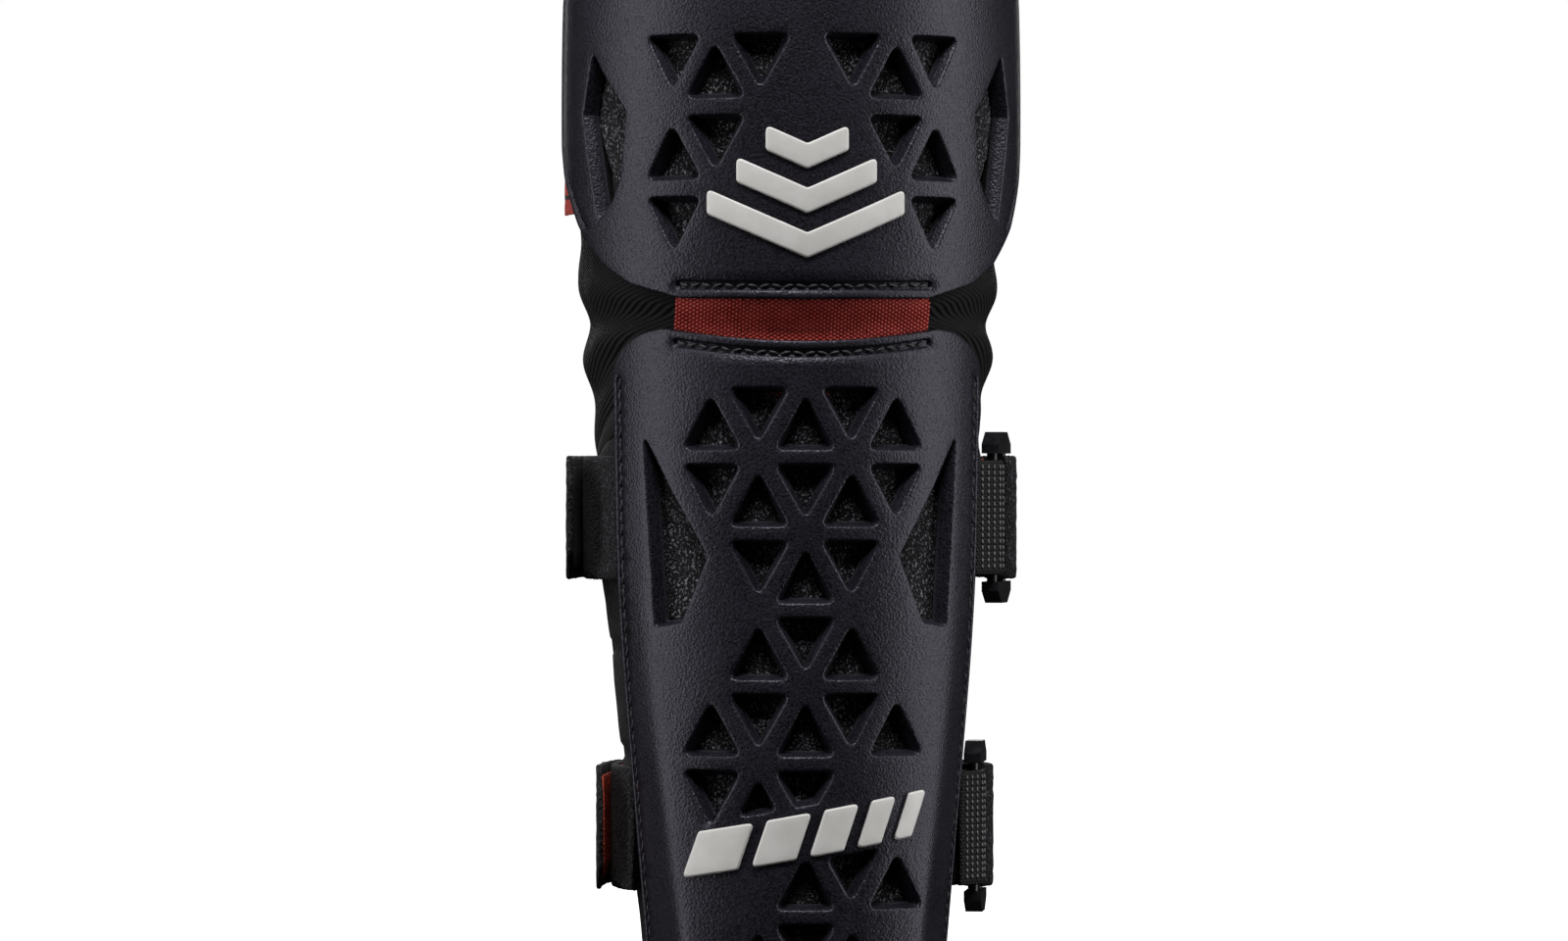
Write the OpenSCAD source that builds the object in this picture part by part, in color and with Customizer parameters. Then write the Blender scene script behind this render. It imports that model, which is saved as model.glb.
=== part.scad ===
// Knee and shin guard for off-road riding: a hard knee cup and a hard shin plate,
// joined by a short webbing link and worn on padded fabric liners with three straps.
// The origin is on the leg's centre line, level with the fold line of the webbing link.
// The guard faces -Y, +X is to the right as seen from in front, and +Z is up the leg.

/* [Knee shell] */
// Outer radius of the knee cup where it is fullest
knee_r = 76; // [75:0.5:78]
// Height of the cup's top edge
knee_top = 130; // [126:1:134]
// Height of the cup's bottom edge at the middle
knee_bottom = 6; // [5:0.5:8]
// How far the cup leans back at its top and bottom edges
knee_bulge = 1.5; // [1:0.5:2]

/* [Shin shell] */
// Outer radius of the shin plate's front face
shin_r = 69; // [68.5:0.5:69]
// Height of the plate's bottom edge
shin_bottom = -267; // [-275:1:-255]
// Half-width of the plate at the top
shin_half_top = 60; // [58:0.5:61]
// Half-width of the plate at the bottom
shin_half_bottom = 43; // [40:0.5:45]

/* [Shells] */
// Thickness of both shells
shell_t = 2.6; // [2:0.1:3]
// Side of the triangle lattice that the vents follow
vent_pitch = 29.5; // [28:0.5:30]
// Width of the ribs between the vents
vent_rib = 5.6; // [5:0.2:8]

/* [Joint] */
// Distance of the fold line in front of the leg's centre line
fold_y = 71; // [70.5:0.5:71.5]
// Angle of the relief cut on each side of the fold line
relief_angle = 31; // [31:1:35]

/* [Straps] */
// Width of the straps
strap_w = 40; // [34:1:41]
// Thickness of one strap layer
strap_t = 2.2; // [1.8:0.1:2.4]
// Height of the thigh strap's middle
thigh_z = 172; // [168:1:174]
// Height of the upper calf strap's middle
upper_z = -63; // [-68:1:-60]
// Height of the lower calf strap's middle
lower_z = -163; // [-170:1:-155]

/* [Hidden] */
$fn = 96;

// colours
plastic = [0.11, 0.11, 0.12];
fabric = [0.07, 0.07, 0.08];
white = [0.93, 0.92, 0.90];
red = [0.71, 0.16, 0.14];
orange_red = [0.85, 0.30, 0.22];

// knee cup: wrap to each side, and the height where it is fullest
knee_wrap = 80;
knee_mid = (knee_top + knee_bottom) / 2;
knee_half = (knee_top - knee_bottom) / 2;

// shin plate: rear edge, waist, lean of its side faces, and the curve of its top edge
shin_rim_y = -34.5;
shin_waist_z = -90;
shin_half_waist = shin_half_top - 2;
shin_lean_upper = 30;
shin_lean_lower = 25;
shin_top_sag = 6.8;
shin_top_r = 237;

// vents: circumradius of a vent's triangle, row heights, and the first row's height
vent_r = (vent_pitch - sqrt(3) * vent_rib) / sqrt(3);
knee_row = vent_pitch * sqrt(3) / 2;
knee_row_top = 92.4;
shin_row = 24.2;
shin_row_top = -19.3;

// leg space at five heights: [height, half-width, half-depth, centre in y]
leg_thigh = [199, 64, 66, 8];
leg_knee = [45, 64, 62, 2];
leg_fold = [0, 58, 56, 0];
leg_calf = [-60, 57.6, 60, 4];
leg_ankle = [-275, 35, 40, -16];
liner_t = 5;
wing_back = 18;
wing_slant = 4;
thigh_back = 34;
binding_w = 5;
binding_lip = 0.8;

// webbing link
link_half = 40;
link_up = 14;
link_down = 25;
link_bend = -2;
link_t = 1.4;

// straps: gap between the two layers, buckle bars, clearances and webbing tab
layer_gap = 1.4;
layer_step = strap_t + layer_gap;
bar_r = 1.75;
bar_gap = 14;
fold_r = 3.1 + strap_t / 2;
tab_t = 1.6;
tab_r = bar_r + 0.3 + tab_t / 2;
tab_w = 37;
slot_h = 41.4;
cap_h = 7;
cap_t = 5.5;
lining_t = 0.6;
hook_t = 0.9;
tail_hinge = -120;
tail_tip = -70;
tail_gap = 1.7;
steps = 6;

// each strap: [height, centre in y, inner radius, angle where it leaves the left wing, front bar]
thigh = [thigh_z, 8, 73, -64, 64];
upper = [upper_z, 4, 64.6, -60, 67];
lower = [lower_z, -4, 55.9, -66, 72];

function lerp(a, b, t) = a + (b - a) * t;

// point at radius r and angle a around [0, c]: 0 is the front, 90 the right, 180 the back
function around(c, r, a) = [r * sin(a), c - r * cos(a)];

function arc(c, r0, r1, a0, a1) =
  let (n = max(1, ceil(abs(a1 - a0) / steps)))
  [for (i = [0:n]) around(c, lerp(r0, r1, i / n), lerp(a0, a1, i / n))];

function side(p, i) =
  let (q = p[min(i + 1, len(p) - 1)] - p[max(i - 1, 0)])
  [-q[1], q[0]] / norm(q);

// closed outline of a band of thickness t along the path p
function ribbon(p, t) = concat(
  [for (i = [0:len(p) - 1]) p[i] + side(p, i) * t / 2],
  [for (i = [len(p) - 1:-1:0]) p[i] - side(p, i) * t / 2]
);

module band(path, t, w, z) {
  translate([0, 0, z - w / 2]) linear_extrude(w) polygon(ribbon(path, t));
}

// prism of an outline seen from in front, through the front of the guard only
module front_prism(points, y0 = -90, y1 = -10) {
  translate([0, y1, 0]) rotate([90, 0, 0]) linear_extrude(y1 - y0) polygon(points);
}

module mirrored() {
  children();
  mirror([1, 0, 0]) children();
}

// ---- leg, liners and the relief cuts ----

module leg_slice(s, grow) {
  translate([0, s[3], s[0]]) linear_extrude(0.01)
    polygon([for (a = [0:10:350]) [(s[1] + grow) * sin(a), (s[2] + grow) * cos(a)]]);
}

module leg_form(slices, grow) {
  hull() for (s = slices) leg_slice(s, grow);
}

module knee_form(grow) {
  leg_form([leg_thigh, leg_knee, leg_fold], grow);
}

module shin_form(grow) {
  leg_form([leg_fold, leg_calf, leg_ankle], grow);
}

// everything behind the fold line and above a plane that rises towards the back
module above_fold(angle) {
  translate([-100, -fold_y, 0]) rotate([angle, 0, 0]) translate([0, -40, 0]) cube([200, 300, 300]);
}

// everything below a plane that falls towards the back
module below_fold(angle) {
  mirror([0, 0, 1]) above_fold(angle);
}

module fold_barrel(r) {
  translate([0, -fold_y, 0]) rotate([0, 90, 0]) cylinder(r = r, h = 200, center = true);
}

// everything behind the knee and thigh wings' rear edge
module behind_thigh(lead) {
  translate([-100, thigh_back - lead, -20]) cube([200, 200, 240]);
}

// everything below the knee wings' steep lower rear edge, which clears the upper strap when the knee bends
module below_wing() {
  steep = 60;
  start_y = 4;
  translate([-100, start_y, (fold_y + start_y) * tan(relief_angle)]) rotate([steep, 0, 0])
    translate([0, 0, -150]) cube([200, 200, 150]);
}

// everything behind the shin wings' rear edge, which slants forward towards the ankle
module behind_wing(lead) {
  translate([-100, wing_back - lead, 0]) rotate([-wing_slant, 0, 0]) translate([0, 0, -310]) cube([200, 200, 420]);
}

// ---- knee cup ----

function knee_radius(z, grow) = knee_r + grow - knee_bulge * pow((z - knee_mid) / knee_half, 2);

function knee_profile(inner, outer, z0, z1) = concat(
  [for (i = [0:8]) let (z = lerp(z0, z1, i / 8)) [knee_radius(z, outer), z]],
  [for (i = [8:-1:0]) let (z = lerp(z0, z1, i / 8)) [knee_radius(z, inner), z]]
);

module knee_barrel(inner, outer, z0 = knee_bottom, z1 = knee_top, wrap = knee_wrap) {
  rotate([0, 0, -90 - wrap]) rotate_extrude(angle = 2 * wrap)
    polygon(knee_profile(inner, outer, z0, z1));
}

// the cup's outline: level in the middle, then up to the sides
module knee_outline() {
  front_prism([
    [0, knee_bottom], [40, knee_bottom + 0.6], [55, 11.5], [63, 18], [70, 30], [74, 46], [80, 60],
    [80, 100], [74, 112], [62, 122], [44, 128], [20, 130], [-20, 130], [-44, 128], [-62, 122],
    [-74, 112], [-80, 100], [-80, 60], [-74, 46], [-70, 30], [-63, 18], [-55, 11.5],
    [-40, knee_bottom + 0.6]
  ]);
}

// a triangular vent through the cup, centred at angle a; up is 1 for a point at the top
module knee_vent(a, row, up) {
  low = knee_row_top - (row + 1) * knee_row;
  z = low + knee_row * (up > 0 ? 1 / 3 : 2 / 3);
  rotate([0, 0, a]) translate([0, -60, z]) rotate([90, 0, 0])
    rotate([0, 0, up * 90]) cylinder(r = vent_r, h = 30, $fn = 3);
}

module knee_vents() {
  col = vent_pitch / 2 / knee_r * 180 / PI;
  for (v = [[1, 0, -1], [2, 0, 1], [3, 0, -1], [2, 1, -1], [3, 1, 1], [3, 2, -1]], s = [-1, 1])
    knee_vent(s * v[0] * col, v[1], v[2]);
}

// long side slot, in arc length and height
module knee_slot() {
  middle = 56;
  mirrored() rotate([0, 0, middle]) front_prism([
    [5.2, 85.5], [11.3, 66], [2.6, 32], [-4.4, 38], [-8.8, 46], [-11.2, 66], [1.7, 81]
  ]);
}

module knee_shell() {
  color(plastic) difference() {
    intersection() {
      knee_barrel(-shell_t, 0);
      knee_outline();
    }
    knee_vents();
    knee_slot();
  }
}

// stacked chevrons that point down, each wider than the one above
module knee_badge() {
  badge_raise = 1.2;
  slope = 0.45;
  thick = 8;
  color(white) intersection() {
    knee_barrel(0, badge_raise);
    for (c = [[31, 19], [22, 33], [13, 47]])
      front_prism([
        [0, c[1]], [c[0], c[1] + slope * c[0]], [c[0], c[1] + slope * c[0] + thick],
        [0, c[1] + thick], [-c[0], c[1] + slope * c[0] + thick], [-c[0], c[1] + slope * c[0]]
      ], -90, -50);
  }
}

module knee_pad() {
  pad_half = 58;
  pad_clear = 23;
  foot_half = 43;
  foot_top = 36;
  color(fabric) difference() {
    knee_barrel(-20, -shell_t - 0.1, 10, 120, 60);
    knee_form(liner_t + 2.1);
    fold_barrel(pad_clear);
    mirrored() translate([pad_half, -100, 0]) cube([40, 200, 200]);
    mirrored() translate([foot_half, -100, 0]) cube([40, 200, foot_top]);
    below_fold(-relief_angle);
  }
}

module knee_liner() {
  color(fabric) difference() {
    knee_form(liner_t + 2);
    knee_form(0);
    fold_barrel(23);
    translate([-100, -100, -10]) cube([200, 200, 14]);
    below_fold(-relief_angle);
    below_wing();
    behind_thigh(binding_w);
    translate([-100, -100, leg_thigh[0] - binding_w]) cube([200, 200, 20]);
  }
}

// edge tape along the rear edges and the top hem
module knee_binding() {
  color(fabric) difference() {
    knee_form(liner_t + 2 + binding_lip);
    knee_form(-binding_lip);
    below_fold(-relief_angle);
    below_wing();
    behind_thigh(0);
    difference() {
      translate([-100, -100, -10]) cube([200, 200, 10 + leg_thigh[0] - binding_w]);
      behind_thigh(binding_w);
    }
  }
}

module side_label() {
  label_h = 11.5;
  color(red) band(arc(8, 72.3, 72.3, -86, -78), 0.8, label_h, 41);
}

// ---- shin plate ----

// everything on the inner side of one flat side face, which meets the rim at [half, shin_rim_y, z]
module shin_side(half, z, slope, lean, inset) {
  translate([half, shin_rim_y, z]) rotate([0, 0, -lean]) rotate([0, atan(slope * cos(lean)), 0])
    translate([-300 - inset, -200, -500]) cube([300, 400, 800]);
}

// the plate's outer form: a round front between two flat faces on each side
module shin_block(inset) {
  upper_slope = (shin_half_top - shin_half_waist) / -shin_waist_z;
  lower_slope = (shin_half_waist - shin_half_bottom) / (shin_waist_z - shin_bottom);
  intersection() {
    translate([0, 0, shin_bottom]) cylinder(r = shin_r - inset, h = 10 - shin_bottom);
    shin_side(shin_half_top, 0, upper_slope, shin_lean_upper, inset);
    shin_side(shin_half_bottom, shin_bottom, lower_slope, shin_lean_lower, inset);
    mirror([1, 0, 0]) shin_side(shin_half_top, 0, upper_slope, shin_lean_upper, inset);
    mirror([1, 0, 0]) shin_side(shin_half_bottom, shin_bottom, lower_slope, shin_lean_lower, inset);
  }
}

// curved top edge, lowest in the middle
module shin_top_cut() {
  translate([0, 0, shin_top_r - shin_top_sag]) rotate([90, 0, 0]) cylinder(r = shin_top_r, h = 200, center = true);
}

// rounded top corners, which let the knee cup swing over the plate
module shin_corner_cut() {
  corner = 15;
  centre_x = 44.5;
  centre_z = -17.8;
  mirrored() difference() {
    translate([centre_x, -100, centre_z]) cube([40, 200, 40]);
    translate([centre_x, 0, centre_z]) rotate([90, 0, 0]) cylinder(r = corner, h = 220, center = true);
  }
}

// rounded bottom corners
module shin_end_cut() {
  corner = 24;
  mirrored() difference() {
    translate([shin_half_bottom - corner, -100, shin_bottom - 1]) cube([corner + 10, 200, corner + 1]);
    translate([shin_half_bottom - corner, 0, shin_bottom + corner]) rotate([90, 0, 0])
      cylinder(r = corner, h = 220, center = true);
  }
}

module shin_vent(x, row, up) {
  low = shin_row_top - (row + 1) * shin_row;
  z = low + shin_row * (up > 0 ? 1 / 3 : 2 / 3);
  rotate([0, 0, asin(x / shin_r)]) translate([0, -50, z]) rotate([90, 0, 0])
    rotate([0, 0, up * 90]) cylinder(r = vent_r, h = 30, $fn = 3);
}

// rows of vents: a row lists [half-pitches from the middle, up or down]
module shin_vents() {
  diamond = [[[0, 1], [1, -1], [2, 1]], [[0, -1], [1, 1], [2, -1]], [[0, 1], [1, -1]], [[0, -1], [1, 1]]];
  rows = concat(diamond, [diamond[0], [[0, -1]], [], diamond[3], diamond[2], diamond[3]]);
  for (i = [0:len(rows) - 1], v = rows[i], s = [-1, 1])
    if (v[0] > 0 || s > 0) shin_vent(s * v[0] * vent_pitch / 2, i, v[1]);
}

module shin_slot() {
  mirrored() front_prism([
    [50, -37], [46.4, -97.4], [39, -96], [38, -94], [30.7, -75], [42, -54], [45, -47.5]
  ], -90, -20);
}

module shin_shell() {
  color(plastic) difference() {
    shin_block(0);
    shin_block(shell_t);
    translate([-100, shin_rim_y, -300]) cube([200, 200, 400]);
    shin_top_cut();
    shin_end_cut();
    shin_corner_cut();
    shin_vents();
    shin_slot();
  }
}

// slanted bars that narrow towards one side
module shin_badge() {
  badge_raise = 1.2;
  rise = 0.18;
  lean = 5;
  bar_h = 15;
  color(white) intersection() {
    difference() {
      shin_block(-badge_raise);
      shin_block(0);
    }
    for (b = [[-38, 17], [-17, 14], [1, 11], [16, 8], [28, 6]])
      front_prism([
        [b[0], -170 + rise * b[0]], [b[0] + b[1], -170 + rise * (b[0] + b[1])],
        [b[0] + b[1] + lean, -170 + bar_h + rise * (b[0] + b[1])], [b[0] + lean, -170 + bar_h + rise * b[0]]
      ], -90, -40);
  }
}

// room for the webbing's lower end in front of the pad
module link_recess() {
  intersection() {
    difference() {
      translate([0, 0, -link_down - 1]) cylinder(r = 80, h = link_down + 10);
      translate([0, 0, -link_down - 2]) cylinder(r = shin_r - shell_t - link_t - 0.6, h = link_down + 20);
    }
    translate([-link_half - 1, -100, -link_down - 1]) cube([2 * link_half + 2, 100, link_down + 10]);
  }
}

module shin_pad() {
  color(fabric) difference() {
    shin_block(shell_t + 0.1);
    shin_form(liner_t + 0.1);
    fold_barrel(14);
    link_recess();
    mirrored() translate([48, -100, -300]) cube([40, 200, 320]);
    translate([-100, -30, -300]) cube([200, 100, 400]);
    translate([-100, -100, -300]) cube([200, 200, 300 + shin_bottom + 5]);
    above_fold(-relief_angle);
  }
}

module shin_liner() {
  color(fabric) difference() {
    shin_form(liner_t);
    shin_form(0);
    fold_barrel(14);
    above_fold(-relief_angle);
    behind_wing(binding_w);
    translate([-100, -100, -280]) cube([200, 200, 5 + binding_w]);
  }
}

module shin_binding() {
  color(fabric) difference() {
    shin_form(liner_t + binding_lip);
    shin_form(-binding_lip);
    above_fold(-relief_angle);
    behind_wing(0);
    difference() {
      translate([-100, -100, -275 + binding_w]) cube([200, 200, 290]);
      behind_wing(binding_w);
    }
  }
}

// ---- link between the shells ----

// webbing from under the knee cup to under the shin plate
module link_webbing() {
  r_top = knee_radius(knee_bottom, 0) - shell_t - 0.3;
  r_low = shin_r - shell_t - 0.3;
  color(red) intersection() {
    rotate_extrude() polygon([
      [r_top, link_up], [r_top, knee_bottom], [r_low, link_bend], [r_low, -link_down],
      [r_low - link_t, -link_down], [r_low - link_t, link_bend], [r_top - link_t, knee_bottom],
      [r_top - link_t, link_up]
    ]);
    translate([-link_half, -100, -link_down]) cube([2 * link_half, 60, link_down + link_up]);
  }
}

// stretch panel that fills the relief cut between the two liners, s is -1 left or 1 right
module gusset(s) {
  gap = 0.4;
  inner = 43;
  outer_r = 63;
  thick = 4.5;
  color(fabric) difference() {
    translate([0, 0, -60]) cylinder(r = outer_r, h = 130);
    translate([0, 0, -61]) cylinder(r = outer_r - thick, h = 132);
    translate([0, 0, -gap]) above_fold(relief_angle);
    translate([0, 0, gap]) below_fold(relief_angle);
    translate([s > 0 ? -100 : -inner, -100, -100]) cube([100 + inner, 200, 200]);
    behind_wing(0);
  }
}

module left_gusset() {
  gusset(-1);
}

module right_gusset() {
  gusset(1);
}

// ---- straps ----

function layer_r(s) = s[2] + strap_t / 2;
function bar_ring(s) = layer_r(s) + fold_r;
function rear_bar(s) = s[4] + bar_gap / bar_ring(s) * 180 / PI;

// fold of the strap round the rear bar
function strap_fold(s) =
  let (a = rear_bar(s), c = around(s[1], bar_ring(s), a), out = [sin(a), -cos(a)], fwd = [-cos(a), -sin(a)])
  [for (t = [15:15:165]) c + fold_r * (fwd * sin(t) - out * cos(t))];

// from the left wing round the back, through the loop, and back over itself to the tail
function strap_path(s) = concat(
  arc(s[1], layer_r(s) - 0.4, layer_r(s), s[3], s[3] - 24),
  arc(s[1], layer_r(s), layer_r(s), s[3] - 30, rear_bar(s) - 360),
  strap_fold(s),
  arc(s[1], bar_ring(s) + fold_r, layer_r(s) + layer_step, rear_bar(s) - 360, rear_bar(s) - 330),
  arc(s[1], layer_r(s) + layer_step, layer_r(s) + layer_step, rear_bar(s) - 324, tail_hinge - tail_gap)
);

module strap(s) {
  color(fabric) band(strap_path(s), strap_t, strap_w, s[0]);
}

module lining(s) {
  r = s[2] - lining_t / 2 - 0.1;
  color(orange_red) band(arc(s[1], r, r, s[3] - 30, rear_bar(s) - 372), lining_t, strap_w - 2, s[0]);
}

// free end of the strap, round where it folds, with the corners of its tip cut off
module tail(s) {
  r = layer_r(s) + layer_step;
  corner = 9;
  tip = around(s[1], r, tail_tip);
  fold = around(s[1], r, tail_hinge);
  color(fabric) difference() {
    union() {
      band(arc(s[1], r, r, tail_hinge, tail_tip), strap_t, strap_w, s[0]);
      translate([fold[0], fold[1], s[0]]) cylinder(r = strap_t / 2, h = strap_w, center = true);
    }
    for (e = [-1, 1])
      translate([tip[0], tip[1], s[0] + e * strap_w / 2]) rotate([45, 0, 0]) cube([30, corner, corner], center = true);
  }
}

module hook(s) {
  r = layer_r(s) + strap_t / 2 + layer_gap / 2;
  color(fabric) band(arc(s[1], r, r, tail_hinge + 12, tail_tip - 12), hook_t, strap_w - 6, s[0]);
}

// webbing tab from the right wing, folded round the loop's front bar
function tab_path(s) =
  let (a = s[4], c = around(s[1], bar_ring(s), a), out = [sin(a), -cos(a)], back = [cos(a), sin(a)])
  concat(
    arc(s[1], s[2] + 0.8, bar_ring(s) - tab_r, a - 12, a - 2),
    [for (t = [0:20:180]) c + tab_r * (back * sin(t) - out * cos(t))],
    arc(s[1], bar_ring(s) + tab_r, s[2] + 2.8 + tab_t / 2, a - 2, a - 10)
  );

module loop_tab(s) {
  color(fabric) band(tab_path(s), tab_t, tab_w, s[0]);
}

// end cap of a loop, in the loop's own plane, z measured from the slot's end
module loop_cap() {
  long = bar_gap + 8;
  translate([-4, cap_t / 2, 0]) rotate([90, 0, 0]) linear_extrude(cap_t)
    polygon([[0, 0], [long, 0], [long, 3], [long - 6, cap_h], [6, cap_h], [0, 3]]);
}

module loop(s) {
  c = around(s[1], bar_ring(s), s[4]);
  turn = s[4] + (rear_bar(s) - s[4]) / 2;
  color(plastic) translate([c[0], c[1], s[0]]) rotate([0, 0, turn]) {
    for (x = [0, bar_gap]) translate([x, 0, 0]) cylinder(r = bar_r, h = slot_h + 2, center = true);
    translate([0, 0, slot_h / 2]) loop_cap();
    translate([0, 0, -slot_h / 2]) mirror([0, 0, 1]) loop_cap();
  }
}

module thigh_strap() strap(thigh);
module thigh_lining() lining(thigh);
module thigh_loop_tab() loop_tab(thigh);
module thigh_loop() loop(thigh);
module thigh_tail() tail(thigh);
module thigh_hook() hook(thigh);
module upper_strap() strap(upper);
module upper_lining() lining(upper);
module upper_loop_tab() loop_tab(upper);
module upper_loop() loop(upper);
module upper_tail() tail(upper);
module upper_hook() hook(upper);
module lower_strap() strap(lower);
module lower_lining() lining(lower);
module lower_loop_tab() loop_tab(lower);
module lower_loop() loop(lower);
module lower_tail() tail(lower);
module lower_hook() hook(lower);

knee_shell();
knee_badge();
knee_pad();
knee_liner();
knee_binding();
side_label();
shin_shell();
shin_badge();
shin_pad();
shin_liner();
shin_binding();
link_webbing();
left_gusset();
right_gusset();
thigh_strap();
thigh_lining();
thigh_loop_tab();
thigh_loop();
thigh_tail();
thigh_hook();
upper_strap();
upper_lining();
upper_loop_tab();
upper_loop();
upper_tail();
upper_hook();
lower_strap();
lower_lining();
lower_loop_tab();
lower_loop();
lower_tail();
lower_hook();
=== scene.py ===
"""Looks of the knee and shin guard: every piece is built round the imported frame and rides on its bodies.

Lengths are in millimetres until a mesh is made, which turns them into metres. The guard faces -Y, +X is to
the right as seen from in front, +Z is up the leg, and the origin is on the leg's centre line.
"""

import math

import bmesh
import bpy
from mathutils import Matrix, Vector, geometry, kdtree, noise


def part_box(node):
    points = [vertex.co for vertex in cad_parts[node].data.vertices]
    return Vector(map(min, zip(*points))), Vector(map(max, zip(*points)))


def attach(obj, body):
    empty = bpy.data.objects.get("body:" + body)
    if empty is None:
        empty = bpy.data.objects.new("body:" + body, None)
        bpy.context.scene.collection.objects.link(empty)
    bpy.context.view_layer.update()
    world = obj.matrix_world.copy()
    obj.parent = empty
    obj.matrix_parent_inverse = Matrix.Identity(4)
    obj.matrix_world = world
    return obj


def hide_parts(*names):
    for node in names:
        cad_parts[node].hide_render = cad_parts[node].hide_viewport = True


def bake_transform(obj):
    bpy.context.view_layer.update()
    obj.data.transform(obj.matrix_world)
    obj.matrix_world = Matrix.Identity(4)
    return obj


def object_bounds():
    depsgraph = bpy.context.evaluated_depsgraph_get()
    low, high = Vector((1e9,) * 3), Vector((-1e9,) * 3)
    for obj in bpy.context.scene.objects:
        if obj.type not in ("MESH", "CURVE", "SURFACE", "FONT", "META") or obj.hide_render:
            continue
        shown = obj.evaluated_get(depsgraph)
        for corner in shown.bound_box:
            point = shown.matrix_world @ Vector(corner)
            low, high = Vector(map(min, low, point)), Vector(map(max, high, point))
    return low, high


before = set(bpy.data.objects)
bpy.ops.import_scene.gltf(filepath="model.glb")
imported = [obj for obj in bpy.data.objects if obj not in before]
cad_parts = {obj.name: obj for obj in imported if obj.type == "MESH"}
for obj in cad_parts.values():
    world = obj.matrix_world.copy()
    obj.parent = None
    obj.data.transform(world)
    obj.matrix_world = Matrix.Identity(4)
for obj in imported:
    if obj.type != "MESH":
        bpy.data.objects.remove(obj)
cad_low, cad_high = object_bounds()

MM = 0.001


def box_mm(node):
    """Lowest and highest corners of a CAD node, in millimetres."""
    low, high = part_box(node)
    return Vector(low) / MM, Vector(high) / MM


# ---- driving dimensions: places come from the frame, the rest are the guard's own sizes ----

knee_low, knee_high = box_mm("knee_shell")
shin_low, _ = box_mm("shin_shell")
knee_r = -knee_low.y
knee_mid = (knee_low.z + knee_high.z) / 2
knee_half = (knee_high.z - knee_low.z) / 2
knee_bulge = 1.5
knee_wrap = math.radians(80)
shin_r = -shin_low.y
shin_bottom = shin_low.z
shin_rim_y = -34.5
shell_t = 2.6
vent_pitch = 29.5
vent_r = 11.43
vent_row = vent_pitch * math.sqrt(3) / 2
knee_vent_top = 92.4
shin_vent_row = 24.2
shin_vent_top = -19.3
flange = 5.2
fold_y = 71
relief = math.tan(math.radians(31))
strap_w = 40
strap_t = 2.2
layer_step = 3.6
fold_r = 4.2
bar_gap = 14
bar_base = -170
bar_tall = 15
bar_rise = 0.18
bar_margin = 1.6
tab_w = 37
tab_r = 2.85
tail_hinge = -120
tail_tip = -70
tag_low, tag_high = box_mm("side_label")
tag_z = (tag_low.z + tag_high.z) / 2

# leg space: [height, half-width, half-depth, centre in y]
leg = [[-275, 35, 40, -16], [-60, 57.6, 60, 4], [0, 58, 56, 0], [45, 64, 62, 2], [199, 64, 66, 8]]

# straps: height, centre in y, inner radius, angle where it leaves the left wing, angle of the front bar,
# and how far the tip of its free tail stands off
straps = {
    "thigh": [172, 8, 73, -64, 64, 0.3],
    "upper": [-63, 4, 64.6, -60, 67, 7.6],
    "lower": [-163, -4, 55.9, -66, 72, 6.0],
}


def lerp(a, b, t):
    return a + (b - a) * t


def clamp(value, low=0.0, high=1.0):
    return max(low, min(high, value))


def ease(t):
    t = clamp(t)
    return t * t * (3 - 2 * t)


def steps_between(start, end, step):
    count = int(abs(end - start) / step)
    return [lerp(start, end, k / count) for k in range(count + 1)]


# ---- materials ----


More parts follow.
